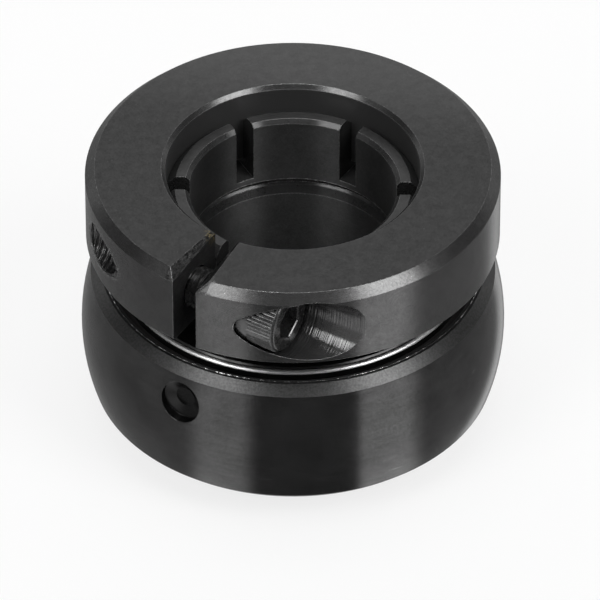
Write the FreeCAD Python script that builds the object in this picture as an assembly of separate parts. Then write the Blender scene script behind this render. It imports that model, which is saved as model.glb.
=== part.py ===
import FreeCAD, Part
import os
from math import cos, radians, sin, sqrt, tan

os.makedirs("parts", exist_ok=True)

# Lengths in millimetres, angles in degrees measured anticlockwise from +X seen from above.
# The origin is the centre of the sphere, +Z points along the bore to the clamp collar.

# Bore, balls and raceways, from the bore outwards
bore_r = 15.09
inner_race_wall = 3.0975
inner_groove_depth = 1.8125
ball_d = 9.525
ball_count = 9
ball_first_angle = 10.0
ball_clearance = 0.05
groove_ratio = 0.52
outer_groove_depth = 1.9125
outer_wall = 3.1875

# Outer ring
outer_edge_chamfer = 1.38
seal_seat_step = 1.8
seal_seat_depth = 4.1
pin_recess_angle = 237.6
pin_recess_from_face = 5.55
pin_recess_r = 3.2
pin_recess_flat_r = 1.6
pin_recess_wall_depth = 1.02
pin_recess_depth = 1.62

# Cage
cage_ring_width = 3.4
cage_web = 0.7575
cage_end_gap = 1.0
cage_front_z = 2.5
cage_pocket_clearance = 0.08
cage_gap_width = 3.0
cage_gap_floor_z = -1.6

# Inner ring
inner_back_length = 3.6
shoulder_length = 5.2
shoulder_height = 1.55
finger_length = 8.6
bore_mouth_chamfer = 0.6
inner_back_chamfer = 0.6
finger_edge_chamfer = 1.3
slot_count = 6
slot_first_angle = -2.2
slot_width = 2.85
slot_below_shoulder = 1.3
relief_below_slot = 1.0
relief_width = 2.8
relief_depth = 0.91
relief_corner = 0.8
relief_flank = 0.3
relief_taper_height = 1.3

# Seals, the same on both sides
cap_sheet = 0.6
cap_rim_inset = 0.2
cap_hole_gap = 0.6
felt_clearance = 0.08
felt_gap = 1.2
flinger_sheet = 0.8
flinger_rim_gap = 1.2
flinger_proud = 0.2
flinger_step_inset = 0.8
flinger_step_height = 0.2
flinger_edge_radius = 0.7
flinger_skirt_drop = 0.8

# Clamp collar
collar_wall = 11.65
collar_clearance = 0.05
collar_height = 12.3
collar_top_chamfer = 1.38
collar_bottom_chamfer = 0.45
collar_mouth_chamfer = 0.6
split_angle = 238.9
split_width = 3.83
split_bevel_left_inner = 0.5
split_bevel_left_outer = 1.4
split_bevel_right_inner = 0.5
split_bevel_right_outer = 1.6
split_bevel_overcut = 0.4

# Clamp screw and its holes
screw_from_bore = 5.5
screw_below_middle = 0.15
shank_r = 3.1
thread_clearance = 0.075
hole_clearance = 0.3
seat_clearance = 0.03
screw_length = 19.05
screw_end_chamfer = 0.6
head_r = 4.75
head_height = 6.35
head_edge_radius = 0.6
counterbore_clearance = 0.425
counterbore_wall = 5.6
socket_across_flats = 4.76
socket_depth = 3.1
socket_point_angle = 118.0
cut_beyond = 3.0

# Radii that follow, from the bore outwards
ball_r = ball_d / 2
groove_r = groove_ratio * ball_d
inner_groove_bottom = bore_r + inner_race_wall
inner_land_r = inner_groove_bottom + inner_groove_depth
ball_pitch_r = inner_groove_bottom + ball_clearance + ball_r
outer_groove_bottom = ball_pitch_r + ball_r + ball_clearance
outer_land_r = outer_groove_bottom - outer_groove_depth
sphere_r = outer_groove_bottom + outer_wall
seal_seat_r = outer_land_r + seal_seat_step
cage_ring_inner_r = ball_pitch_r - cage_ring_width / 2
cage_ring_outer_r = ball_pitch_r + cage_ring_width / 2
cap_rim_r = seal_seat_r - cap_sheet
cap_hole_r = inner_land_r + cap_hole_gap
felt_inner_r = inner_land_r + felt_clearance
flinger_r = cap_rim_r - flinger_rim_gap
flinger_step_r = flinger_r - flinger_step_inset
finger_r = inner_land_r - shoulder_height
relief_floor_r = bore_r + relief_depth
collar_bore_r = finger_r + collar_clearance
collar_r = collar_bore_r + collar_wall
screw_offset = collar_bore_r + screw_from_bore
thread_major_r = shank_r + thread_clearance
clearance_hole_r = shank_r + hole_clearance
counterbore_r = head_r + counterbore_clearance

# Heights that follow, from the sphere's centre
cage_back_z = -(ball_r + cage_pocket_clearance + cage_web)
seal_seat_z = cage_end_gap - cage_back_z
outer_half_width = seal_seat_z + seal_seat_depth
pin_recess_z = outer_half_width - pin_recess_from_face
cap_rim_z = outer_half_width - cap_rim_inset
flinger_top_z = outer_half_width + flinger_proud
flinger_step_z = flinger_top_z + flinger_step_height
flinger_under_z = flinger_step_z - flinger_sheet
felt_back_z = seal_seat_z + cap_sheet
felt_front_z = flinger_under_z - felt_gap
inner_back_z = -outer_half_width - inner_back_length
shoulder_z = outer_half_width + shoulder_length
slot_root_z = shoulder_z - slot_below_shoulder
relief_front_z = slot_root_z - relief_below_slot
relief_back_z = relief_front_z - relief_width
inner_front_z = shoulder_z + finger_length
collar_back_z = shoulder_z + collar_clearance
collar_front_z = collar_back_z + collar_height
screw_z = collar_back_z + collar_height / 2 - screw_below_middle

# Distances along the screw, from the middle of the split
counterbore_floor = split_width / 2 + counterbore_wall
head_seat = counterbore_floor + seat_clearance

Z_UP = FreeCAD.Vector(0, 0, 1)
ORIGIN = FreeCAD.Vector(0, 0, 0)


def point(r, z):
    return FreeCAD.Vector(r, 0, z)


def line(a, b):
    return Part.makeLine(point(*a), point(*b))


def arc(a, through, b):
    return Part.Arc(point(*a), point(*through), point(*b)).toShape()


def chain(points):
    edges = []
    for a, b in zip(points[:-1], points[1:]):
        edges.append(line(a, b))
    return edges


def revolve(edges):
    wire = Part.Wire(edges)
    return Part.Face(wire).revolve(ORIGIN, Z_UP, 360)


def polygon_ring(points):
    return revolve(chain(points + points[:1]))


def turned(shape, angle):
    shape.rotate(ORIGIN, Z_UP, angle)
    return shape


def mirrored(shape):
    return shape.mirror(ORIGIN, Z_UP)


def save(shape, name):
    shape.exportStep("parts/" + name + ".step")


def make_pin_recess():
    surface = sqrt(sphere_r ** 2 - pin_recess_z ** 2)
    floor = point(surface - pin_recess_depth, pin_recess_z)
    wall_end = point(surface - pin_recess_wall_depth, pin_recess_z)
    outwards = FreeCAD.Vector(1, 0, 0)
    wall = Part.makeCylinder(pin_recess_r, pin_recess_wall_depth + cut_beyond, wall_end, outwards)
    cone = Part.makeCone(pin_recess_flat_r, pin_recess_r, pin_recess_depth - pin_recess_wall_depth,
                         floor, outwards)
    return turned(wall.fuse(cone), pin_recess_angle)


def make_outer_ring():
    # The chamfer never takes the whole rim outside the seal seat.
    rim = sqrt(sphere_r ** 2 - outer_half_width ** 2) - seal_seat_r
    chamfer = min(outer_edge_chamfer, rim)
    edge_z = outer_half_width - chamfer
    edge_r = sqrt(sphere_r ** 2 - edge_z ** 2)
    face_r = edge_r - chamfer
    centre_r = outer_groove_bottom - groove_r
    groove_z = sqrt(groove_r ** 2 - (outer_land_r - centre_r) ** 2)
    front = [(face_r, outer_half_width), (seal_seat_r, outer_half_width),
             (seal_seat_r, seal_seat_z), (outer_land_r, seal_seat_z), (outer_land_r, groove_z)]
    back = [(r, -z) for r, z in reversed(front)]
    edges = [arc((edge_r, -edge_z), (sphere_r, 0), (edge_r, edge_z))]
    edges += chain([(edge_r, edge_z)] + front)
    edges.append(arc((outer_land_r, groove_z), (outer_groove_bottom, 0), (outer_land_r, -groove_z)))
    edges += chain(back + [(edge_r, -edge_z)])
    return revolve(edges).cut(make_pin_recess())


def make_ball(index):
    ball = Part.makeSphere(ball_r, ORIGIN)
    ball.translate(point(ball_pitch_r, 0))
    return turned(ball, ball_first_angle + index * 360 / ball_count)


def make_cage():
    cage = polygon_ring([(cage_ring_inner_r, cage_back_z), (cage_ring_outer_r, cage_back_z),
                         (cage_ring_outer_r, cage_front_z), (cage_ring_inner_r, cage_front_z)])
    step = 360 / ball_count
    cuts = []
    for index in range(ball_count):
        pocket = Part.makeSphere(ball_r + cage_pocket_clearance, ORIGIN)
        pocket.translate(point(ball_pitch_r, 0))
        cuts.append(turned(pocket, ball_first_angle + index * step))
        gap = Part.makeBox(cage_ring_width + 2 * cut_beyond, cage_gap_width, cage_front_z + cut_beyond,
                           FreeCAD.Vector(cage_ring_inner_r - cut_beyond, -cage_gap_width / 2,
                                          cage_gap_floor_z))
        cuts.append(turned(gap, ball_first_angle + (index + 0.5) * step))
    return cage.cut(cuts)


def make_inner_ring():
    centre_r = inner_groove_bottom + groove_r
    groove_z = sqrt(groove_r ** 2 - (centre_r - inner_land_r) ** 2)
    mouth_r = bore_r + bore_mouth_chamfer
    edges = chain([(bore_r, inner_back_z + inner_back_chamfer),
                   (bore_r + inner_back_chamfer, inner_back_z),
                   (inner_land_r - inner_back_chamfer, inner_back_z),
                   (inner_land_r, inner_back_z + inner_back_chamfer),
                   (inner_land_r, -groove_z)])
    edges.append(arc((inner_land_r, -groove_z), (inner_groove_bottom, 0), (inner_land_r, groove_z)))
    edges += chain([(inner_land_r, groove_z), (inner_land_r, shoulder_z), (finger_r, shoulder_z),
                    (finger_r, inner_front_z - finger_edge_chamfer),
                    (finger_r - finger_edge_chamfer, inner_front_z),
                    (mouth_r, inner_front_z), (bore_r, inner_front_z - bore_mouth_chamfer),
                    (bore_r, relief_front_z)])
    bend = relief_corner * (1 - cos(radians(45)))
    edges += chain([(bore_r, relief_front_z), (relief_floor_r - relief_corner, relief_front_z)])
    edges.append(arc((relief_floor_r - relief_corner, relief_front_z),
                     (relief_floor_r - bend, relief_front_z - bend),
                     (relief_floor_r, relief_front_z - relief_corner)))
    # The groove's back runs out in a short flank and a long taper.
    taper_z = relief_back_z + relief_taper_height
    edges += chain([(relief_floor_r, relief_front_z - relief_corner),
                    (relief_floor_r, taper_z + relief_flank),
                    (relief_floor_r - relief_flank, taper_z), (bore_r, relief_back_z),
                    (bore_r, inner_back_z + inner_back_chamfer)])
    ring = revolve(edges)
    slots = []
    for index in range(slot_count):
        slot = Part.makeBox(inner_land_r, slot_width, inner_front_z + cut_beyond - slot_root_z,
                            FreeCAD.Vector(bore_r / 2, -slot_width / 2, slot_root_z))
        slots.append(turned(slot, slot_first_angle + index * 360 / slot_count))
    return ring.cut(slots)


def make_flinger():
    bend = flinger_edge_radius * (1 - cos(radians(45)))
    skirt_z = flinger_under_z - flinger_skirt_drop
    skirt_r = flinger_r - flinger_sheet
    edges = chain([(inner_land_r, flinger_under_z), (inner_land_r, flinger_step_z),
                   (flinger_step_r - flinger_step_height, flinger_step_z),
                   (flinger_step_r, flinger_top_z),
                   (flinger_r - flinger_edge_radius, flinger_top_z)])
    edges.append(arc((flinger_r - flinger_edge_radius, flinger_top_z),
                     (flinger_r - bend, flinger_top_z - bend),
                     (flinger_r, flinger_top_z - flinger_edge_radius)))
    edges += chain([(flinger_r, flinger_top_z - flinger_edge_radius), (flinger_r, skirt_z),
                    (skirt_r, skirt_z), (skirt_r, flinger_under_z), (inner_land_r, flinger_under_z)])
    return revolve(edges)


def make_seal_cap():
    return polygon_ring([(cap_hole_r, seal_seat_z), (seal_seat_r, seal_seat_z),
                         (seal_seat_r, cap_rim_z), (cap_rim_r, cap_rim_z),
                         (cap_rim_r, felt_back_z), (cap_hole_r, felt_back_z)])


def make_felt():
    return polygon_ring([(felt_inner_r, felt_back_z), (cap_rim_r, felt_back_z),
                         (cap_rim_r, felt_front_z), (felt_inner_r, felt_front_z)])


def along_screw(start, end, r):
    # Round bar on the screw's line, built with the split pointing along +X.
    return Part.makeCylinder(r, end - start, FreeCAD.Vector(screw_offset, start, screw_z),
                             FreeCAD.Vector(0, 1, 0))


def make_split():
    return Part.makeBox(collar_r + cut_beyond, split_width, collar_height + 2 * cut_beyond,
                        FreeCAD.Vector(0, -split_width / 2, collar_back_z - cut_beyond))


def split_bevel_section(x, side, width):
    # Triangle whose long side is the bevel, reaching a little into the gap and above the collar.
    near = split_width / 2 - split_bevel_overcut
    far = split_width / 2 + width + split_bevel_overcut
    low_z = collar_front_z - width - split_bevel_overcut
    high_z = collar_front_z + split_bevel_overcut
    corners = [(near, low_z), (far, high_z), (near, high_z), (near, low_z)]
    return Part.makePolygon([FreeCAD.Vector(x, side * y, z) for y, z in corners])


def make_split_bevel(side, inner_width, outer_width):
    # The dressed edge of the split grows from the bore to the outside.
    growth = (outer_width - inner_width) / collar_wall
    overhang = collar_top_chamfer
    start = split_bevel_section(collar_bore_r - overhang, side, inner_width - growth * overhang)
    end = split_bevel_section(collar_r + overhang, side, outer_width + growth * overhang)
    return Part.makeLoft([start, end], True, True)


def make_clamp_collar():
    mouth_r = collar_bore_r + collar_mouth_chamfer
    ring = polygon_ring([(collar_bore_r, collar_back_z),
                         (collar_r - collar_bottom_chamfer, collar_back_z),
                         (collar_r, collar_back_z + collar_bottom_chamfer),
                         (collar_r, collar_front_z - collar_top_chamfer),
                         (collar_r - collar_top_chamfer, collar_front_z),
                         (mouth_r, collar_front_z),
                         (collar_bore_r, collar_front_z - collar_mouth_chamfer)])
    cuts = [make_split(),
            make_split_bevel(-1, split_bevel_left_inner, split_bevel_left_outer),
            make_split_bevel(1, split_bevel_right_inner, split_bevel_right_outer),
            along_screw(counterbore_floor, collar_r, counterbore_r),
            along_screw(0, collar_r, clearance_hole_r),
            along_screw(-collar_r, 0, thread_major_r)]
    return turned(ring.cut(cuts), split_angle)


def make_socket(face_y):
    corner_r = socket_across_flats / 2 / cos(radians(30))
    corners = []
    for index in range(7):
        angle = radians(60 * index)
        corners.append(FreeCAD.Vector(screw_offset + corner_r * cos(angle), face_y - socket_depth,
                                      screw_z + corner_r * sin(angle)))
    prism = Part.Face(Part.makePolygon(corners)).extrude(FreeCAD.Vector(0, socket_depth + cut_beyond, 0))
    tip_r = socket_across_flats / 2
    tip_length = tip_r / tan(radians(socket_point_angle / 2))
    tip = Part.makeCone(tip_r, 0, tip_length,
                        FreeCAD.Vector(screw_offset, face_y - socket_depth, screw_z),
                        FreeCAD.Vector(0, -1, 0))
    return prism.fuse(tip)


def make_clamp_screw():
    face_y = head_seat + head_height
    tip_y = head_seat - screw_length
    bend = head_edge_radius * (1 - cos(radians(45)))
    half = [(0, tip_y), (shank_r - screw_end_chamfer, tip_y), (shank_r, tip_y + screw_end_chamfer),
            (shank_r, head_seat), (head_r, head_seat),
            (head_r, face_y - head_edge_radius)]
    edges = chain(half)
    edges.append(arc((head_r, face_y - head_edge_radius), (head_r - bend, face_y - bend),
                     (head_r - head_edge_radius, face_y)))
    edges += chain([(head_r - head_edge_radius, face_y), (0, face_y), (0, tip_y)])
    body = revolve(edges)
    body.rotate(ORIGIN, FreeCAD.Vector(1, 0, 0), -90)
    body.translate(FreeCAD.Vector(screw_offset, 0, screw_z))
    return turned(body.cut(make_socket(face_y)), split_angle)


save(make_outer_ring(), "outer_ring")
save(make_inner_ring(), "inner_ring")
save(make_cage(), "cage")
for number in range(ball_count):
    save(make_ball(number), "ball_" + str(number + 1))
save(make_flinger(), "front_flinger")
save(mirrored(make_flinger()), "back_flinger")
save(make_seal_cap(), "front_seal_cap")
save(mirrored(make_seal_cap()), "back_seal_cap")
save(make_felt(), "front_felt")
save(mirrored(make_felt()), "back_felt")
save(make_clamp_collar(), "clamp_collar")
save(make_clamp_screw(), "clamp_screw")
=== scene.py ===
from math import cos, pi, radians, sin, sqrt

import bmesh
import bpy
from mathutils import Matrix, Vector
from mathutils.noise import noise as noise_value


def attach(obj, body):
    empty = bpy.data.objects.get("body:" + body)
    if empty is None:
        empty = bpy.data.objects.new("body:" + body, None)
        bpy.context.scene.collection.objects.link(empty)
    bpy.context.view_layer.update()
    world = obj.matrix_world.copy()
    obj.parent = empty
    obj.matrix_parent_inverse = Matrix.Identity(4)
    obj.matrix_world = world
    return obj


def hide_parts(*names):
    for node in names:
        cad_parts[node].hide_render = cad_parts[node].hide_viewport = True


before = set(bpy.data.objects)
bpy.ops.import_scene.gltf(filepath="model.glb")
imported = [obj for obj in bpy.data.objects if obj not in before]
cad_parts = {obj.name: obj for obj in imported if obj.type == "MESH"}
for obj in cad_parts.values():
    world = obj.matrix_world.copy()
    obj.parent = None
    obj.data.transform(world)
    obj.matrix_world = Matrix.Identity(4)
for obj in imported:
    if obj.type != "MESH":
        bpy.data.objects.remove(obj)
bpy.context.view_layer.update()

# Lengths are in millimetres until a mesh is placed, and angles in degrees.
# The sphere's centre is the origin, +Z runs along the bore to the clamp collar.
MM = 0.001

# Clamp collar. Depths across the split are counted along the screw's line from the split's middle.
COLLAR_RADIUS = 30.15
COLLAR_BORE = 18.5
COLLAR_FRONT = 28.25
SPLIT_ANGLE = 238.9
SPLIT_FACE = 1.93
FILED_BEVEL_END = 3.4
SMOOTH_BEVEL_END = 3.6
BEVEL_DROP = 1.6
SPLIT_CORNER = (-10.6, -15.3, 27.9)
# Direction of the painted light gradient on the collar's front face, lighter towards the back
PAINTED_LIGHT_LINE = (0.15, 1.0, 0.0)

# Bore of the inner ring, with its relief groove
BORE_WALL = 15.09
RELIEF_FRONT = 13.6
RELIEF_BACK = 10.8

# Clamp screw, with distances along its own line from the middle of the split
SCREW_OFFSET = 24.0
SCREW_HEIGHT = 21.95
SCREW_LENGTH = 19.05
SEAT = 7.545
HEAD_RADIUS = 4.75
HEAD_HEIGHT = 6.35
HEAD_EDGE = 0.6
HEAD_EDGE_STEPS = 8
KNURL_LENGTH = 3.9
KNURL_RIDGES = 56
KNURL_DEPTH = 0.16
KNURL_BAR = 0.2
KNURL_OVERLAP = 0.1
SOCKET_FLATS = 4.76
SOCKET_DEPTH = 3.1
KEY_POINT_DEPTH = 1.3
SHANK_RADIUS = 3.1
CORE_RADIUS = 2.68
THREAD_RUNOUT = 0.6
THREAD_PITCH = 0.907
THREAD_LEAD = 0.7
THREAD_LENGTH = 16.2
TAPPED_RADIUS = 3.175
TAPPED_RIDGE = 0.4
COUNTERBORE_RADIUS = 5.175

# Outer ring and seals
SPHERE_RADIUS = 31.0
OUTER_FACE = 10.7
SEAL_SEAT_RADIUS = 27.7
RECESS_ANGLE = 237.6
RECESS_HEIGHT = 5.15
RECESS_RADIUS = 3.2
FLINGER_STEP = 25.1
FLINGER_TOP = 10.9
BEAD_RADIUS = 0.11
BEAD_STEPS = 720
BEAD_SIDES = 6
BEAD_WAVES = 9

# Camera
CAMERA_PLACE = (0.0, -1.01321, 0.84786)
CAMERA_LINE = (0.00102, 1.00098, -0.83473)
CAMERA_LENS = 540

# Studio, as seen from the object: panels of light over an even surround.
# Each row is azimuth of the middle from the camera's side, half width, elevation from and to,
# softness of the edges, and strength.
SURROUND = 0.27
DARKEST = 0.02
PANELS = [
    (4, 29, -5, 60, 5, -0.17),
    (56.5, 16.5, 32, 60, 3, 5.9),
    (-47, 15, 32, 60, 4, 4.4),
    (107, 18, 4, 45, 10, -0.2),
    (-105, 18, 4, 45, 10, -0.24),
    (0, 180, 72, 90, 8, 3.4),
    (180, 60, 8, 60, 20, 0.42),
    (152, 10, -60, -20, 8, 0.5),
]

# Upright strips of light below the horizon, placed by where they mirror in an upright surface,
# from -1 at its left edge to 1 at its right. Each row is from, to, softness of each edge, strength.
# They fade out towards the horizon and towards the back of the studio.
STRIPS = [
    (-0.21, 0.315, 0.09, 0.03, -0.19),
    (0.315, 0.57, 0.03, 0.12, 1.03),
    (-0.46, -0.21, 0.12, 0.09, 0.68),
]
STRIP_TOP = (-9.0, -1.0)
STRIP_BACK = (0.15, 0.45)

# Floor
FLOOR_HEIGHT = -14.32
FLOOR_REACH = 4000.0
FLOOR_TONE = 0.86
FLOOR_GLOW = 0.8
BORE_FLOOR_RADIUS = 24.0
BORE_FLOOR_SIDES = 48
BORE_FLOOR_LIFT = 0.01

# Marks on the sphere: middle, direction, half length and half width
SPHERE_MARKS = [
    ((-26.4, -15.9, 2.0), (0.35, 0.3, 0.89), 1.1, 0.09),
    ((-3.9, -30.2, -5.6), (1.0, -0.13, 0.0), 1.0, 0.08),
    ((14.9, -26.3, -7.0), (0.87, 0.49, 0.0), 1.2, 0.07),
    ((26.2, -16.2, 3.0), (0.5, 0.8, 0.3), 0.35, 0.16),
    ((-1.5, -29.7, 10.0), (0.0, -0.71, -0.71), 0.7, 0.09),
]

# Ranges of noise that are stretched to the full contrast of a finish
WIDE = (0.3, 0.7)
NARROW = (0.35, 0.65)

# Edges sharper than this stay crisp, and the bead's six sides look round
SHARP_ANGLE = 32
BEAD_SHARP_ANGLE = 80


def outward(angle):
    """Level direction away from the bearing's axis."""
    return (cos(radians(angle)), sin(radians(angle)), 0.0)


SPLIT_LINE = outward(SPLIT_ANGLE)
RECESS_LINE = outward(RECESS_ANGLE)
SCREW_LINE = (-SPLIT_LINE[1], SPLIT_LINE[0], 0.0)
SCREW_POINT = (SCREW_OFFSET * SPLIT_LINE[0], SCREW_OFFSET * SPLIT_LINE[1], SCREW_HEIGHT)


# Mesh helpers

def screw_matrix():
    """Places screw coordinates, with +Z towards the head, in the bearing."""
    turn = Matrix.Rotation(radians(SPLIT_ANGLE), 4, "Z")
    shift = Matrix.Translation(Vector((SCREW_OFFSET, 0, SCREW_HEIGHT)))
    tip = Matrix.Rotation(radians(-90), 4, "X")
    return turn @ shift @ tip


def to_metres(mesh, matrix=None):
    mesh.transform(Matrix.Scale(MM, 4) @ (matrix or Matrix.Identity(4)))


def sharpen(mesh, angle):
    """Smooth shading, with every edge sharper than the angle kept crisp."""
    shape = bmesh.new()
    shape.from_mesh(mesh)
    for face in shape.faces:
        face.smooth = True
    for edge in shape.edges:
        edge.smooth = len(edge.link_faces) == 2 and edge.calc_face_angle() < radians(angle)
    shape.to_mesh(mesh)
    shape.free()


def mesh_of(shape, name):
    """Turns the faces outwards and gives the shape back as a mesh."""
    bmesh.ops.recalc_face_normals(shape, faces=shape.faces)
    mesh = bpy.data.meshes.new(name)
    shape.to_mesh(mesh)
    shape.free()
    return mesh


def tube_mesh(name, loops, count=96):
    """Skins loops of points (radius or function of the angle, height), closed at both ends."""
    shape = bmesh.new()
    rings = []
    for radius, height in loops:
        ring = []
        for index in range(count):
            angle = 2 * pi * index / count
            reach = radius(angle) if callable(radius) else radius
            ring.append(shape.verts.new((reach * cos(angle), reach * sin(angle), height)))
        rings.append(ring)
    for low, high in zip(rings, rings[1:]):
        for index in range(count):
            after = (index + 1) % count
            shape.faces.new((low[index], low[after], high[after], high[index]))
    shape.faces.new(list(reversed(rings[0])))
    shape.faces.new(rings[-1])
    return mesh_of(shape, name)


def hexagon(flat_radius):
    """Radius of a hexagon as a function of the angle."""
    def reach(angle):
        return flat_radius / cos((angle + pi / 6) % (pi / 3) - pi / 6)
    return reach


# Node helpers

def add(tree, kind, **settings):
    made = tree.nodes.new(kind)
    for name, value in settings.items():
        setattr(made, name, value)
    return made


def plug(tree, socket, value):
    """Links another node's output, or sets a plain value."""
    if isinstance(value, bpy.types.NodeSocket):
        tree.links.new(value, socket)
    else:
        socket.default_value = value


def maths(tree, operation, *values):
    made = add(tree, "ShaderNodeMath", operation=operation)
    for socket, value in zip(made.inputs, values):
        plug(tree, socket, value)
    return made.outputs[0]


def chained(tree, operation, values):
    """One operation carried through a row of values."""
    total = values[0]
    for value in values[1:]:
        total = maths(tree, operation, total, value)
    return total


def multiply(tree, *values):
    return chained(tree, "MULTIPLY", values)


def plus(tree, *values):
    return chained(tree, "ADD", values)


def vectors(tree, operation, *values):
    made = add(tree, "ShaderNodeVectorMath", operation=operation)
    for socket, value in zip(made.inputs, values):
        plug(tree, socket, value)
    return made.outputs["Value" if operation in ("LENGTH", "DOT_PRODUCT", "DISTANCE") else "Vector"]


def scaled(tree, vector, factor):
    made = add(tree, "ShaderNodeVectorMath", operation="SCALE")
    plug(tree, made.inputs[0], vector)
    plug(tree, made.inputs["Scale"], factor)
    return made.outputs["Vector"]


def spread(tree, value, low, high, start=0.0, end=1.0):
    """Maps low..high smoothly to start..end, held at both ends."""
    made = add(tree, "ShaderNodeMapRange", interpolation_type="SMOOTHSTEP")
    plug(tree, made.inputs["Value"], value)
    for name, number in zip(("From Min", "From Max", "To Min", "To Max"), (low, high, start, end)):
        plug(tree, made.inputs[name], number)
    return made.outputs["Result"]


def between(tree, value, low, high, low_soft, high_soft=None):
    """One inside low..high, zero outside, with soft ends."""
    if high_soft is None:
        high_soft = low_soft
    rise = spread(tree, value, low - low_soft / 2, low + low_soft / 2)
    fall = spread(tree, value, high - high_soft / 2, high + high_soft / 2, 1.0, 0.0)
    return multiply(tree, rise, fall)


def blend(tree, kind, first_input, output, factor, first, second):
    made = add(tree, "ShaderNodeMix", data_type=kind)
    plug(tree, made.inputs[0], factor)
    plug(tree, made.inputs[first_input], first)
    plug(tree, made.inputs[first_input + 1], second)
    return made.outputs[output]


def blend_values(tree, factor, first, second):
    return blend(tree, "FLOAT", 2, 0, factor, first, second)


def blend_vectors(tree, factor, first, second):
    return blend(tree, "VECTOR", 4, 1, factor, first, second)


def blend_colours(tree, factor, first, second):
    return blend(tree, "RGBA", 6, 2, factor, first, second)


def layered(tree, base, *layers):
    """Lays each (mask, value) over what is below it."""
    for mask, value in layers:
        base = blend_values(tree, mask, base, value)
    return base


def noise(tree, place, scale, detail=2.0, roughness=0.5):
    made = add(tree, "ShaderNodeTexNoise")
    plug(tree, made.inputs["Vector"], place)
    made.inputs["Scale"].default_value = scale
    made.inputs["Detail"].default_value = detail
    made.inputs["Roughness"].default_value = roughness
    return made.outputs["Fac"]


def vector_of(tree, x, y, z):
    made = add(tree, "ShaderNodeCombineXYZ")
    for socket, value in zip(made.inputs, (x, y, z)):
        plug(tree, socket, value)
    return made.outputs[0]


def bump(tree, height, strength, distance, normal=None):
    made = add(tree, "ShaderNodeBump")
    made.inputs["Strength"].default_value = strength
    made.inputs["Distance"].default_value = distance * MM
    plug(tree, made.inputs["Height"], height)
    if normal is not None:
        plug(tree, made.inputs["Normal"], normal)
    return made.outputs["Normal"]


def grey(level):
    return (level, level, level, 1.0)


def new_material(name):
    material = bpy.data.materials.new(name)
    material.use_nodes = True
    material.node_tree.nodes.clear()
    return material, material.node_tree


def object_place(tree):
    """Object coordinates in millimetres."""
    return scaled(tree, add(tree, "ShaderNodeTexCoord").outputs["Object"], 1 / MM)


def round_the_bore(tree, place):
    """Radius, height and direction along the circumference."""
    split = add(tree, "ShaderNodeSeparateXYZ")
    plug(tree, split.inputs[0], place)
    x, y, z = split.outputs
    radius = vectors(tree, "LENGTH", vector_of(tree, x, y, 0.0))
    along = vector_of(tree, multiply(tree, y, -1.0), x, 0.0)
    return radius, z, along


def near_line(tree, place, point, direction):
    """Distance from a line, the way along it, and the offset across it."""
    offset = vectors(tree, "SUBTRACT", place, point)
    along = vectors(tree, "DOT_PRODUCT", offset, direction)
    across = vectors(tree, "SUBTRACT", offset, scaled(tree, direction, along))
    return vectors(tree, "LENGTH", across), along, across


def spot(tree, place, centre, reach):
    """One near a point, fading to zero."""
    return spread(tree, vectors(tree, "DISTANCE", place, centre), reach, reach * 0.3)


def scratch(tree, place, centre, direction, half_length, half_width):
    """One on a short straight mark."""
    distance, along, across = near_line(tree, place, centre, direction)
    inside = between(tree, along, -half_length, half_length, half_length * 0.5)
    return multiply(tree, inside, spread(tree, distance, half_width, half_width * 0.4))


def world_direction(tree, vector):
    made = add(tree, "ShaderNodeVectorTransform", vector_type="VECTOR",
               convert_from="OBJECT", convert_to="WORLD")
    plug(tree, made.inputs[0], vector)
    return vectors(tree, "NORMALIZE", made.outputs[0])


def edge_glint(tree, radius):
    """Rounded normal at edges, and a mask that is one on them."""
    made = add(tree, "ShaderNodeBevel", samples=6)
    if isinstance(radius, bpy.types.NodeSocket):
        radius = multiply(tree, radius, MM)
    else:
        radius *= MM
    plug(tree, made.inputs["Radius"], radius)
    surface = add(tree, "ShaderNodeNewGeometry").outputs["True Normal"]
    agree = vectors(tree, "DOT_PRODUCT", made.outputs[0], surface)
    return made.outputs[0], spread(tree, agree, 0.985, 0.93)


def steel_surface(tree, colour, roughness, normal, tangent=None, anisotropy=0.0, metallic=1.0):
    """Shader and output. The tangent is the direction in which the surface was turned."""
    shader = add(tree, "ShaderNodeBsdfPrincipled")
    plug(tree, shader.inputs["Base Color"], colour)
    plug(tree, shader.inputs["Roughness"], roughness)
    plug(tree, shader.inputs["Normal"], normal)
    shader.inputs["Metallic"].default_value = metallic
    if tangent is not None:
        shader.inputs["Anisotropic"].default_value = anisotropy
        shader.inputs["Anisotropic Rotation"].default_value = 0.25
        plug(tree, shader.inputs["Tangent"], tangent)
    output = add(tree, "ShaderNodeOutputMaterial")
    tree.links.new(shader.outputs[0], output.inputs["Surface"])


# Materials. Tones are linear grey levels.

def turned_marks(tree, radius, height, scale):
    """Fine rings left by turning: they change along the radius and the height only."""
    track = plus(tree, radius, height)
    return noise(tree, vector_of(tree, track, 0.0, 0.0), scale, 4.0, 0.7)


def oxide_grain(tree, place, depth):
    """Mottled grain of a blackened surface, about zero, with rare light flecks."""
    fine = spread(tree, noise(tree, place, 4.2, 2.0, 0.7), 0.32, 0.68, -depth, depth)
    coarse = spread(tree, noise(tree, place, 1.7, 2.0, 0.6), *NARROW, depth * -0.5, depth * 0.5)
    flecks = spread(tree, noise(tree, place, 3.7, 1.0, 0.5), 0.74, 0.8, 0.0, depth * 7.0)
    return plus(tree, fine, coarse, flecks)


def broken_edge(tree, place, radius, low, high):
    """Rounded normal, and a mask of the bare chips along sharp edges."""
    rounded, edge = edge_glint(tree, radius)
    chips = spread(tree, noise(tree, place, 2.6, 4.0, 0.7), low, high, 0.22, 1.0)
    return rounded, multiply(tree, edge, chips)


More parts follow.
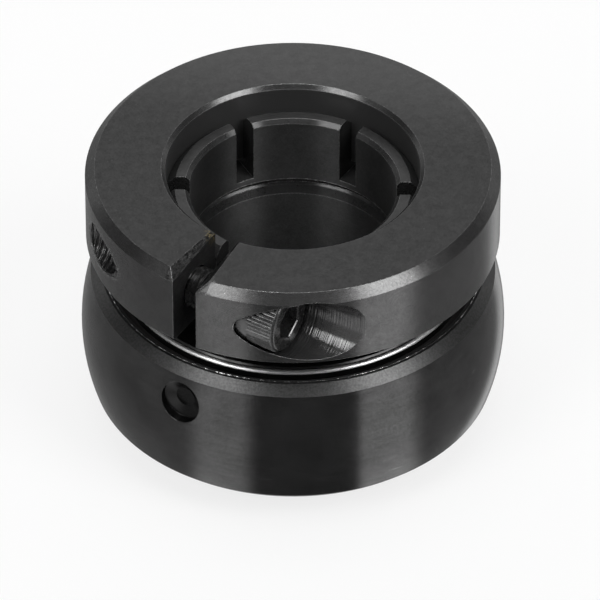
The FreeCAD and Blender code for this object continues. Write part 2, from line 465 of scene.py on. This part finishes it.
def collar_tone(tree, place, height):
    """Plain oxide: even round the side. On the front face a painted light gradient makes it lighter
    towards the back.
    """
    front = spread(tree, height, COLLAR_FRONT - 0.06, COLLAR_FRONT - 0.02)
    side_tone = spread(tree, noise(tree, place, 0.09, 2.0), *NARROW, 0.097, 0.108)
    # Painted light: the front face is lighter towards the back and a little towards +X.
    backward = vectors(tree, "DOT_PRODUCT", place, PAINTED_LIGHT_LINE)
    front_painted_light = spread(tree, backward, 6.0, 27.0, 0.06, 0.104)
    grain_depth = spread(tree, front, 0.0, 1.0, 1.0, 0.6)
    return plus(tree, blend_values(tree, front, side_tone, front_painted_light),
                spread(tree, noise(tree, place, 0.6, 3.0), *WIDE, -0.006, 0.006),
                multiply(tree, oxide_grain(tree, place, 0.014), grain_depth))


def split_masks(tree, height, depth, reach):
    """The filed and the smooth bevel at the split's front edges, and its sawn faces."""
    near_side = maths(tree, "GREATER_THAN", reach, 0.0)
    bevelled = between(tree, height, COLLAR_FRONT - BEVEL_DROP, COLLAR_FRONT - 0.02, 0.02)
    filed = between(tree, depth, -FILED_BEVEL_END, -SPLIT_FACE, 0.02)
    smooth = between(tree, depth, SPLIT_FACE, SMOOTH_BEVEL_END, 0.02)
    sawn = between(tree, depth, -SPLIT_FACE, SPLIT_FACE, 0.01)
    return (multiply(tree, bevelled, near_side, filed),
            multiply(tree, bevelled, near_side, smooth),
            multiply(tree, sawn, near_side))


def worn_corner(tree, height, depth, reach):
    """One at the corner of the chamfer and the smooth bevel, which is worn round."""
    return multiply(tree, between(tree, depth, 1.9, 4.2, 0.3), spread(tree, reach, 26.6, 28.0),
                    spread(tree, height, COLLAR_FRONT - 2.6, COLLAR_FRONT - 1.9))


def tapped_rim(tree, place, distance, depth):
    """Bare chips round the open end of the tapped hole."""
    ring = between(tree, distance, TAPPED_RADIUS - 0.05, TAPPED_RADIUS + 0.45, 0.2)
    open_end = spread(tree, depth, -10.0, -11.0)
    chips = spread(tree, noise(tree, place, 2.9, 3.0, 0.7), 0.56, 0.64, 0.0, 0.6)
    return multiply(tree, ring, open_end, chips)


def collar_oxide():
    """Black oxide over turned, filed, sawn and drilled faces, with brass-coloured flakes."""
    material, tree = new_material("collar black oxide")
    place = object_place(tree)
    radius, height, along = round_the_bore(tree, place)
    distance, depth, across = near_line(tree, place, SCREW_POINT, SCREW_LINE)
    reach = vectors(tree, "DOT_PRODUCT", place, SPLIT_LINE)
    rings = turned_marks(tree, radius, height, 9.0)
    drill_rings = noise(tree, vector_of(tree, depth, 0.0, 0.0), 3.8, 2.0, 0.6)
    rough_file = noise(tree, vectors(tree, "MULTIPLY", place, (1.6, 0.7, 3.0)), 1.4, 5.0, 0.75)

    hole = spread(tree, depth, -0.1, 0.1, TAPPED_RADIUS + 0.03, COUNTERBORE_RADIUS + 0.03)
    drilled = maths(tree, "LESS_THAN", distance, hole)
    inside = spread(tree, radius, COLLAR_BORE + 0.03, COLLAR_BORE + 0.06, 1.0, 0.0)
    filed, smooth, sawn = split_masks(tree, height, depth, reach)
    corner = worn_corner(tree, height, depth, reach)
    edge_radius = spread(tree, corner, 0.0, 1.0, 0.13, 0.75)
    rounded, chipped = broken_edge(tree, place, edge_radius, 0.5, 0.62)
    chipped = maths(tree, "MAXIMUM", chipped, tapped_rim(tree, place, distance, depth))

    # The bore wall (inside) is set lighter than the side: painted light in the bore.
    tone = layered(tree, collar_tone(tree, place, height), (drilled, 0.165), (inside, 0.14),
                   (filed, spread(tree, rough_file, *NARROW, 0.01, 0.09)), (smooth, 0.05),
                   (sawn, spread(tree, rough_file, *NARROW, 0.05, 0.1)), (chipped, 0.5))
    flakes = multiply(tree, spot(tree, place, SPLIT_CORNER, 2.6),
                      spread(tree, noise(tree, place, 3.2, 3.0, 0.6), 0.52, 0.6))
    colour = blend_colours(tree, flakes, tone, (0.34, 0.27, 0.13, 1.0))
    roughness = layered(tree, spread(tree, rings, *NARROW, 0.21, 0.26), (drilled, 0.15),
                        (maths(tree, "MAXIMUM", inside, sawn), 0.42))
    relief = layered(tree, multiply(tree, rings, 0.12), (drilled, multiply(tree, drill_rings, 3.4)),
                     (filed, multiply(tree, rough_file, 4.0)))
    grain = noise(tree, place, 6.0, 2.0, 0.6)
    normal = bump(tree, relief, 0.6, 0.04, bump(tree, grain, 0.2, 0.02, rounded))
    round_hole = vectors(tree, "NORMALIZE", vectors(tree, "CROSS_PRODUCT", SCREW_LINE, across))
    turning = blend_vectors(tree, drilled, vectors(tree, "NORMALIZE", along), round_hole)
    steel_surface(tree, colour, roughness, normal, world_direction(tree, turning), 0.55, 0.82)
    return material


def recess_mask(tree, place):
    """One on the pin recess: inside its wall, and below the sphere."""
    start = (0.0, 0.0, RECESS_HEIGHT)
    distance, along, across = near_line(tree, place, start, RECESS_LINE)
    from_centre = vectors(tree, "LENGTH", place)
    return multiply(tree, spread(tree, from_centre, SPHERE_RADIUS - 0.1, SPHERE_RADIUS - 0.2),
                    spread(tree, distance, RECESS_RADIUS + 0.12, RECESS_RADIUS + 0.06),
                    spread(tree, along, 0.0, 1.0))


def sphere_oxide():
    """Ground sphere with a few scratches, spotted faces and painted shade in the pin recess."""
    material, tree = new_material("ground sphere black oxide")
    place = object_place(tree)
    radius, height, along = round_the_bore(tree, place)
    rings = turned_marks(tree, radius, height, 12.0)
    cloud = noise(tree, place, 0.16, 3.0)
    streaks = noise(tree, vectors(tree, "MULTIPLY", place, (0.25, 0.25, 2.2)), 0.8, 3.0, 0.6)
    grain = noise(tree, place, 6.5, 2.0, 0.6)
    rounded, chipped = broken_edge(tree, place, 0.1, 0.55, 0.7)
    faced = spread(tree, height, OUTER_FACE - 1.42, OUTER_FACE - 1.36)
    recess_painted_shade = recess_mask(tree, place)
    scored = 0.0
    for mark in SPHERE_MARKS:
        scored = maths(tree, "MAXIMUM", scored, scratch(tree, place, *mark))

    ground = plus(tree, spread(tree, cloud, *WIDE, 0.073, 0.099),
                  spread(tree, streaks, *WIDE, -0.007, 0.007), oxide_grain(tree, place, 0.01))
    spotted = spread(tree, noise(tree, place, 3.4, 3.0, 0.65), *NARROW, 0.078, 0.118)
    bare = plus(tree, multiply(tree, scored, 0.16), multiply(tree, chipped, 0.16))
    tone = plus(tree, blend_values(tree, faced, ground, spotted), bare)
    # Painted shade: the pin recess is set nearly black.
    tone = blend_values(tree, recess_painted_shade, tone, 0.028)
    roughness = layered(tree, spread(tree, rings, *NARROW, 0.15, 0.2),
                        (faced, 0.38), (recess_painted_shade, 0.2))
    grain_depth = multiply(tree, grain, blend_values(tree, faced, 0.2, 1.1))
    normal = bump(tree, rings, 0.05, 0.02, bump(tree, grain_depth, 0.5, 0.02, rounded))
    steel_surface(tree, tone, roughness, normal, world_direction(tree, along), 0.5, 0.88)
    return material


def bore_oxide():
    """Inner ring: turned oxide, matt in the bore, with bare chips along its edges; at the relief
    groove the edges are rounded wider and their chips are painted brighter as a painted highlight.
    """
    material, tree = new_material("inner ring black oxide")
    place = object_place(tree)
    radius, height, along = round_the_bore(tree, place)
    rings = turned_marks(tree, radius, height, 8.0)
    cloud = noise(tree, place, 0.3, 3.0)
    grain = noise(tree, place, 7.0, 2.0, 0.6)
    relief = multiply(tree, between(tree, height, RELIEF_BACK - 0.3, RELIEF_FRONT + 0.3, 0.1),
                      spread(tree, radius, BORE_WALL + 1.2, BORE_WALL + 1.4, 1.0, 0.0))
    edge_radius = spread(tree, relief, 0.0, 1.0, 0.12, 0.3)
    rounded, chipped = broken_edge(tree, place, edge_radius, 0.46, 0.6)
    bored = spread(tree, radius, BORE_WALL + 0.02, BORE_WALL + 0.06, 1.0, 0.0)

    tone = plus(tree, spread(tree, cloud, *WIDE, 0.056, 0.07), oxide_grain(tree, place, 0.008))
    # Bare chips, painted brighter at the relief groove's edges as a painted highlight.
    tone = blend_values(tree, chipped, tone, spread(tree, relief, 0.0, 1.0, 0.4, 0.75))
    roughness = layered(tree, spread(tree, rings, *NARROW, 0.2, 0.26), (bored, 0.5))
    normal = bump(tree, rings, 0.04, 0.02, bump(tree, grain, 0.1, 0.02, rounded))
    steel_surface(tree, tone, roughness, normal, world_direction(tree, along), 0.95, 0.68)
    return material


def screw_oxide():
    """Screw: worn light edges, a socket painted lighter as painted light, and a dark shank."""
    material, tree = new_material("screw black oxide")
    place = object_place(tree)
    cloud = noise(tree, place, 0.9, 3.0)
    grain = noise(tree, place, 9.0, 2.0, 0.6)
    rounded, edge = edge_glint(tree, 0.06)
    worn = multiply(tree, edge, spread(tree, cloud, 0.4, 0.6))
    distance, depth, across = near_line(tree, place, SCREW_POINT, SCREW_LINE)
    # Painted light: the inside of the socket is set lighter than the head.
    socket_painted_light = multiply(tree, spread(tree, distance, 3.0, 2.7),
                         spread(tree, depth, SEAT + 2.0, SEAT + 2.4))
    shank = spread(tree, depth, SEAT - 0.3, SEAT - 0.1, 1.0, 0.0)
    tone = layered(tree, spread(tree, grain, *WIDE, 0.1, 0.125),
                   (worn, 0.3), (socket_painted_light, 0.15), (shank, 0.06))
    roughness = spread(tree, cloud, *WIDE, 0.22, 0.3)
    normal = bump(tree, grain, 0.05, 0.02, rounded)
    steel_surface(tree, tone, roughness, normal, metallic=0.85)
    return material


def bright_sheet():
    """Flingers: one pressed sheet in two tones, dark inside the rim and bright on the rounded rim,
    a painted highlight on the rim.
    """
    material, tree = new_material("pressed flinger steel")
    place = object_place(tree)
    radius, height, along = round_the_bore(tree, place)
    rings = turned_marks(tree, radius, height, 14.0)
    cloud = noise(tree, place, 0.4, 3.0)
    outer_side = maths(tree, "ABSOLUTE", height)
    rim = multiply(tree, spread(tree, radius, FLINGER_STEP + 0.1, FLINGER_STEP + 0.25),
                   spread(tree, outer_side, FLINGER_TOP - 0.5, FLINGER_TOP - 0.36))
    # Painted highlight: the rounded rim is made bright and the rest dark, so the rim shines and the
    # step inside it stays dim.
    tone = blend_values(tree, rim, spread(tree, cloud, *WIDE, 0.05, 0.08),
                        spread(tree, cloud, *WIDE, 0.86, 0.95))
    roughness = layered(tree, spread(tree, rings, *NARROW, 0.2, 0.26), (rim, 0.34))
    normal = bump(tree, rings, 0.1, 0.015)
    steel_surface(tree, tone, roughness, normal, world_direction(tree, along), 0.3, 0.9)
    return material


def dark_cap():
    # The seal caps are made dark all over.
    material, tree = new_material("dark seal cap")
    place = object_place(tree)
    radius, height, along = round_the_bore(tree, place)
    grain = noise(tree, place, 8.0, 3.0, 0.6)
    tone = spread(tree, grain, *NARROW, 0.04, 0.085)
    roughness = spread(tree, grain, *WIDE, 0.3, 0.4)
    normal = bump(tree, grain, 0.2, 0.03)
    steel_surface(tree, tone, roughness, normal, world_direction(tree, along), 0.3, 0.5)
    return material


def bead_steel():
    """Bead that is rubbed bright in places."""
    material, tree = new_material("rubbed crimp bead")
    wear = noise(tree, object_place(tree), 1.1, 4.0, 0.8)
    tone = spread(tree, wear, 0.5, 0.6, 0.07, 0.9)
    roughness = spread(tree, wear, 0.4, 0.6, 0.35, 0.2)
    steel_surface(tree, tone, roughness, bump(tree, wear, 0.3, 0.05), metallic=0.9)
    return material


def polished_ball():
    material, tree = new_material("polished ball steel")
    haze = noise(tree, object_place(tree), 3.0, 3.0)
    tone = blend_colours(tree, haze, grey(0.6), grey(0.66))
    roughness = spread(tree, haze, *WIDE, 0.05, 0.09)
    steel_surface(tree, tone, roughness, bump(tree, haze, 0.02, 0.01))
    return material


def cage_nylon():
    material, tree = new_material("moulded cage nylon")
    grain = noise(tree, object_place(tree), 6.0, 4.0, 0.6)
    tone = blend_colours(tree, grain, (0.50, 0.43, 0.30, 1.0), (0.60, 0.52, 0.38, 1.0))
    roughness = spread(tree, grain, *WIDE, 0.42, 0.55)
    steel_surface(tree, tone, roughness, bump(tree, grain, 0.2, 0.03), metallic=0.0)
    return material


def felt_fibre():
    # The felt is made dark grey.
    material, tree = new_material("oiled felt")
    fibre = noise(tree, object_place(tree), 5.0, 6.0, 0.75)
    tone = blend_colours(tree, fibre, (0.02, 0.0195, 0.019, 1.0), (0.06, 0.058, 0.055, 1.0))
    steel_surface(tree, tone, 0.9, bump(tree, fibre, 0.6, 0.15), metallic=0.0)
    return material


# Geometry Nodes for the knurl and the threads

def group_input(tree, name, kind, value):
    socket = tree.interface.new_socket(name, in_out="INPUT", socket_type=kind)
    if value is not None:
        socket.default_value = value


def ridge_along(tree, curve, size):
    """A ridge with a diamond section carried along a curve."""
    section = add(tree, "GeometryNodeCurvePrimitiveCircle")
    section.inputs["Resolution"].default_value = 4
    plug(tree, section.inputs["Radius"], size)
    ridge = add(tree, "GeometryNodeCurveToMesh")
    ridge.inputs["Fill Caps"].default_value = True
    tree.links.new(curve, ridge.inputs["Curve"])
    tree.links.new(section.outputs[0], ridge.inputs["Profile Curve"])
    return ridge.outputs[0]


def helix(tree, radius, pitch, start, length, depth):
    """A ridge of thread along a helix."""
    turns = maths(tree, "DIVIDE", length, pitch)
    spiral = add(tree, "GeometryNodeCurveSpiral")
    spiral.inputs["Resolution"].default_value = 40
    plug(tree, spiral.inputs["Rotations"], turns)
    plug(tree, spiral.inputs["Start Radius"], radius)
    plug(tree, spiral.inputs["End Radius"], radius)
    plug(tree, spiral.inputs["Height"], length)
    upright = add(tree, "GeometryNodeSetCurveNormal", mode="Z_UP")
    tree.links.new(spiral.outputs[0], upright.inputs[0])
    place = add(tree, "GeometryNodeTransform")
    tree.links.new(ridge_along(tree, upright.outputs[0], depth), place.inputs["Geometry"])
    plug(tree, place.inputs["Translation"], vector_of(tree, 0.0, 0.0, start))
    return place.outputs[0]


def knurl(tree, count, radius, start, length, depth):
    """Straight ridges side by side round the head."""
    bar = add(tree, "GeometryNodeCurvePrimitiveLine")
    plug(tree, bar.inputs["Start"], vector_of(tree, radius, 0.0, start))
    plug(tree, bar.inputs["End"], vector_of(tree, radius, 0.0, plus(tree, start, length)))
    spots = add(tree, "GeometryNodePoints")
    plug(tree, spots.inputs["Count"], count)
    step = maths(tree, "DIVIDE", 2 * pi, count)
    index = add(tree, "GeometryNodeInputIndex").outputs[0]
    copies = add(tree, "GeometryNodeInstanceOnPoints")
    tree.links.new(spots.outputs[0], copies.inputs["Points"])
    tree.links.new(ridge_along(tree, bar.outputs[0], depth), copies.inputs["Instance"])
    plug(tree, copies.inputs["Rotation"], vector_of(tree, 0.0, 0.0, multiply(tree, index, step)))
    return copies.outputs[0]


def finish_tree(tree, parts, material):
    """Joins the parts, makes the copies real and sets their material."""
    joined = add(tree, "GeometryNodeJoinGeometry")
    for part in reversed(parts):
        tree.links.new(part, joined.inputs[0])
    real = add(tree, "GeometryNodeRealizeInstances")
    tree.links.new(joined.outputs[0], real.inputs[0])
    paint = add(tree, "GeometryNodeSetMaterial")
    paint.inputs["Material"].default_value = material
    tree.links.new(real.outputs[0], paint.inputs["Geometry"])
    leave = add(tree, "NodeGroupOutput")
    tree.interface.new_socket("Geometry", in_out="OUTPUT", socket_type="NodeSocketGeometry")
    tree.links.new(paint.outputs[0], leave.inputs[0])


def tree_with_inputs(name, sizes):
    """Starts a node tree whose inputs are the geometry and the named sizes."""
    tree = bpy.data.node_groups.new(name, "GeometryNodeTree")
    group_input(tree, "Geometry", "NodeSocketGeometry", None)
    for label, value in sizes.items():
        kind = "NodeSocketInt" if isinstance(value, int) else "NodeSocketFloat"
        group_input(tree, label, kind, value)
    return tree, add(tree, "NodeGroupInput").outputs


def plain_mesh(name, mesh, tree, sizes):
    """Runs a node tree on a mesh and gives back the result as a plain mesh."""
    holder = bpy.data.objects.new(name + " being made", mesh)
    bpy.context.scene.collection.objects.link(holder)
    modifier = holder.modifiers.new("details", "NODES")
    modifier.node_group = tree
    for item in tree.interface.items_tree:
        if item.in_out == "INPUT" and item.name in sizes:
            modifier[item.identifier] = sizes[item.name]
    holder.update_tag()
    graph = bpy.context.evaluated_depsgraph_get()
    result = bpy.data.meshes.new_from_object(holder.evaluated_get(graph))
    result.name = name
    holder.modifiers.remove(modifier)
    bpy.data.objects.remove(holder)
    return result


# Pieces

def place_piece(name, mesh, body, matrix=None, angle=SHARP_ANGLE):
    sharpen(mesh, angle)
    to_metres(mesh, matrix)
    piece = bpy.data.objects.new(name, mesh)
    bpy.context.scene.collection.objects.link(piece)
    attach(piece, body)
    return piece


def screw_loops(tip, knurl_start, knurl_end, face):
    """Radius and height of the screw's outline, from its tip round to the socket's floor."""
    knurl_root = HEAD_RADIUS - KNURL_DEPTH
    head = HEAD_RADIUS - 0.03
    loops = [(CORE_RADIUS - 0.7, tip), (CORE_RADIUS - 0.1, tip + 0.5), (CORE_RADIUS, tip + 0.8),
             (CORE_RADIUS, SEAT - 2 * THREAD_RUNOUT), (SHANK_RADIUS, SEAT - THREAD_RUNOUT),
             (SHANK_RADIUS, SEAT), (HEAD_RADIUS - 0.25, SEAT), (head, SEAT + 0.22),
             (head, knurl_start - 0.25), (knurl_root, knurl_start + 0.1)]
    for step in range(HEAD_EDGE_STEPS + 1):
        angle = radians(90 * step / HEAD_EDGE_STEPS)
        inset = (HEAD_EDGE - KNURL_DEPTH) * (1 - cos(angle))
        loops.append((knurl_root - inset, knurl_end + HEAD_EDGE * sin(angle)))
    flat = SOCKET_FLATS / 2
    floor = face - SOCKET_DEPTH
    loops += [(flat * 1.2, face), (hexagon(flat + 0.12), face - 0.05), (hexagon(flat), face - 0.22),
              (hexagon(flat), floor), (flat * 0.97, floor - 0.12), (0.05, floor - KEY_POINT_DEPTH)]
    return loops


def make_screw(material):
    """Socket head cap screw with its knurl, hexagon socket and thread."""
    face = SEAT + HEAD_HEIGHT
    tip = SEAT - SCREW_LENGTH
    knurl_end = face - HEAD_EDGE
    knurl_start = knurl_end - KNURL_LENGTH
    body = tube_mesh("screw", screw_loops(tip, knurl_start, knurl_end, face))
    sizes = {"Ridges": KNURL_RIDGES, "Knurl radius": HEAD_RADIUS - KNURL_BAR,
             "Knurl start": knurl_start, "Knurl length": KNURL_LENGTH + KNURL_OVERLAP,
             "Ridge size": KNURL_BAR, "Thread radius": CORE_RADIUS, "Pitch": THREAD_PITCH,
             "Thread start": tip + THREAD_LEAD, "Thread length": THREAD_LENGTH,
             "Thread depth": SHANK_RADIUS - CORE_RADIUS}
    tree, given = tree_with_inputs("screw knurl and thread", sizes)
    ridges = knurl(tree, given["Ridges"], given["Knurl radius"], given["Knurl start"],
                   given["Knurl length"], given["Ridge size"])
    thread = helix(tree, given["Thread radius"], given["Pitch"], given["Thread start"],
                   given["Thread length"], given["Thread depth"])
    finish_tree(tree, [given["Geometry"], ridges, thread], material)
    mesh = plain_mesh("socket_screw", body, tree, sizes)
    piece = place_piece("socket_screw", mesh, "screw", screw_matrix())
    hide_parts("clamp_screw")


def make_tapped_thread(material):
    """Ridge in the open end of the tapped hole, beyond the screw's tip, flush with the collar."""
    end = -sqrt(COLLAR_RADIUS ** 2 - (SCREW_OFFSET - TAPPED_RADIUS) ** 2)
    sizes = {"Thread radius": TAPPED_RADIUS + 0.02, "Pitch": THREAD_PITCH, "Thread start": end,
             "Thread length": SEAT - SCREW_LENGTH - end - TAPPED_RIDGE,
             "Thread depth": TAPPED_RIDGE}
    tree, given = tree_with_inputs("tapped thread", sizes)
    thread = helix(tree, given["Thread radius"], given["Pitch"], given["Thread start"],
                   given["Thread length"], given["Thread depth"])
    finish_tree(tree, [thread], material)
    start = bpy.data.meshes.new("tapped thread start")
    mesh = plain_mesh("tapped_thread", start, tree, sizes)
    reach = COLLAR_RADIUS - 0.08
    for vertex in mesh.vertices:
        depth = sqrt(max(reach ** 2 - (SCREW_OFFSET + vertex.co.x) ** 2, 0.0))
        vertex.co.z = max(vertex.co.z, -depth)
    place_piece("tapped_thread", mesh, "collar", screw_matrix())


def make_crimp_bead(material):
    """The thin uneven bead where the seal cap is crimped into the outer ring."""
    section = [(cos(2 * pi * corner / BEAD_SIDES), sin(2 * pi * corner / BEAD_SIDES))
               for corner in range(BEAD_SIDES)]
    shape = bmesh.new()
    rings = []
    for step in range(BEAD_STEPS):
        turn = 2 * pi * step / BEAD_STEPS
        swell = noise_value((BEAD_WAVES * cos(turn), BEAD_WAVES * sin(turn), 0.0))
        size = BEAD_RADIUS * (0.85 + 0.5 * swell)
        rings.append([shape.verts.new(((SEAL_SEAT_RADIUS + size * x) * cos(turn),
                                       (SEAL_SEAT_RADIUS + size * x) * sin(turn),
                                       OUTER_FACE + size * z)) for x, z in section])
    for step in range(BEAD_STEPS):
        here, after = rings[step], rings[(step + 1) % BEAD_STEPS]
        for corner in range(BEAD_SIDES):
            other = (corner + 1) % BEAD_SIDES
            shape.faces.new((here[corner], after[corner], after[other], here[other]))
    mesh = mesh_of(shape, "crimp_bead")
    mesh.materials.append(material)
    place_piece("crimp_bead", mesh, "outer", angle=BEAD_SHARP_ANGLE)


# Camera, floor and light

def make_camera():
    camera = bpy.data.objects.new("camera", bpy.data.cameras.new("camera"))
    camera.data.lens = CAMERA_LENS
    camera.data.clip_start = 0.01
    camera.data.clip_end = 50.0
    camera.location = CAMERA_PLACE
    camera.rotation_euler = Vector(CAMERA_LINE).to_track_quat("-Z", "Y").to_euler()
    bpy.context.scene.collection.objects.link(camera)
    bpy.context.scene.camera = camera


def floor_sheet(name, points, height, material):
    mesh = bpy.data.meshes.new(name)
    mesh.from_pydata([(x, y, height) for x, y in points], [], [tuple(range(len(points)))])
    to_metres(mesh)
    mesh.materials.append(material)
    sheet = bpy.data.objects.new(name, mesh)
    bpy.context.scene.collection.objects.link(sheet)
    return sheet


def make_floor():
    """A white floor, seen in the steel only where the bore looks straight down at it."""
    material, tree = new_material("white floor")
    diffuse = add(tree, "ShaderNodeBsdfDiffuse")
    diffuse.inputs["Color"].default_value = grey(FLOOR_TONE)
    glow = add(tree, "ShaderNodeEmission")
    glow.inputs["Color"].default_value = grey(1.0)
    rays = add(tree, "ShaderNodeLightPath").outputs
    mix = add(tree, "ShaderNodeMixShader")
    plug(tree, mix.inputs[0], multiply(tree, rays["Is Camera Ray"], FLOOR_GLOW))
    tree.links.new(diffuse.outputs[0], mix.inputs[1])
    tree.links.new(glow.outputs[0], mix.inputs[2])
    output = add(tree, "ShaderNodeOutputMaterial")
    tree.links.new(mix.outputs[0], output.inputs["Surface"])
    corners = [(-FLOOR_REACH, -FLOOR_REACH), (FLOOR_REACH, -FLOOR_REACH),
               (FLOOR_REACH, FLOOR_REACH), (-FLOOR_REACH, FLOOR_REACH)]
    floor = floor_sheet("floor", corners, FLOOR_HEIGHT, material)
    floor.visible_glossy = False
    circle = []
    for step in range(BORE_FLOOR_SIDES):
        turn = 2 * pi * step / BORE_FLOOR_SIDES
        circle.append((BORE_FLOOR_RADIUS * cos(turn), BORE_FLOOR_RADIUS * sin(turn)))
    floor_sheet("floor_under_bore", circle, FLOOR_HEIGHT + BORE_FLOOR_LIFT, material)


def panel_light(tree, azimuth, elevation, row):
    middle, half, low, high, soft, strength = row
    turned = maths(tree, "WRAP", maths(tree, "SUBTRACT", azimuth, middle), 180.0, -180.0)
    across = between(tree, turned, -half, half, soft) if half < 180 else 1.0
    return multiply(tree, across, between(tree, elevation, low, high, soft), strength)


def strip_light(tree, side, elevation, behind, row):
    low, high, low_soft, high_soft, strength = row
    return multiply(tree, between(tree, side, low, high, low_soft, high_soft),
                    spread(tree, elevation, *STRIP_TOP, strength, 0.0),
                    spread(tree, behind, *STRIP_BACK, 1.0, 0.0))


def make_studio():
    """White where the camera or glass sees it, and soft panels and strips of light otherwise."""
    world = bpy.data.worlds.new("soft studio")
    bpy.context.scene.world = world
    world.use_nodes = True
    tree = world.node_tree
    tree.nodes.clear()
    split = add(tree, "ShaderNodeSeparateXYZ")
    outwards = add(tree, "ShaderNodeTexCoord").outputs["Generated"]
    tree.links.new(outwards, split.inputs[0])
    x, y, z = split.outputs
    front = tuple(Vector(CAMERA_PLACE).normalized())
    halfway = vectors(tree, "LENGTH", vectors(tree, "ADD", outwards, front))
    side = maths(tree, "DIVIDE", x, maths(tree, "MAXIMUM", halfway, 0.01))
    azimuth = maths(tree, "DEGREES", maths(tree, "ARCTAN2", x, multiply(tree, y, -1.0)))
    elevation = maths(tree, "DEGREES", maths(tree, "ARCSINE", z))
    lights = [panel_light(tree, azimuth, elevation, row) for row in PANELS]
    lights += [strip_light(tree, side, elevation, y, row) for row in STRIPS]
    level = maths(tree, "MAXIMUM", plus(tree, SURROUND, *lights), DARKEST)
    rays = add(tree, "ShaderNodeLightPath").outputs
    seen = maths(tree, "MAXIMUM", rays["Is Camera Ray"], rays["Is Transmission Ray"])
    background = add(tree, "ShaderNodeBackground")
    background.inputs["Color"].default_value = grey(1.0)
    plug(tree, background.inputs["Strength"], blend_values(tree, seen, level, 1.0))
    output = add(tree, "ShaderNodeOutputWorld")
    tree.links.new(background.outputs[0], output.inputs["Surface"])


def finish_nodes(screw_finish, collar_finish):
    """Gives every CAD node its procedural finish. Those that aren't named are the balls."""
    sheet = bright_sheet()
    cap = dark_cap()
    felt = felt_fibre()
    ball = polished_ball()
    finishes = {"outer_ring": sphere_oxide(), "inner_ring": bore_oxide(), "cage": cage_nylon(),
                "clamp_collar": collar_finish, "clamp_screw": screw_finish,
                "front_flinger": sheet, "back_flinger": sheet, "front_seal_cap": cap,
                "back_seal_cap": cap, "front_felt": felt, "back_felt": felt}
    for name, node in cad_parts.items():
        for slot in node.material_slots:
            slot.material = finishes.get(name, ball)


bpy.context.scene.view_settings.view_transform = "Standard"
screw_finish = screw_oxide()
collar_finish = collar_oxide()
finish_nodes(screw_finish, collar_finish)
make_screw(screw_finish)
make_tapped_thread(collar_finish)
make_crimp_bead(bead_steel())
make_camera()
make_floor()
make_studio()
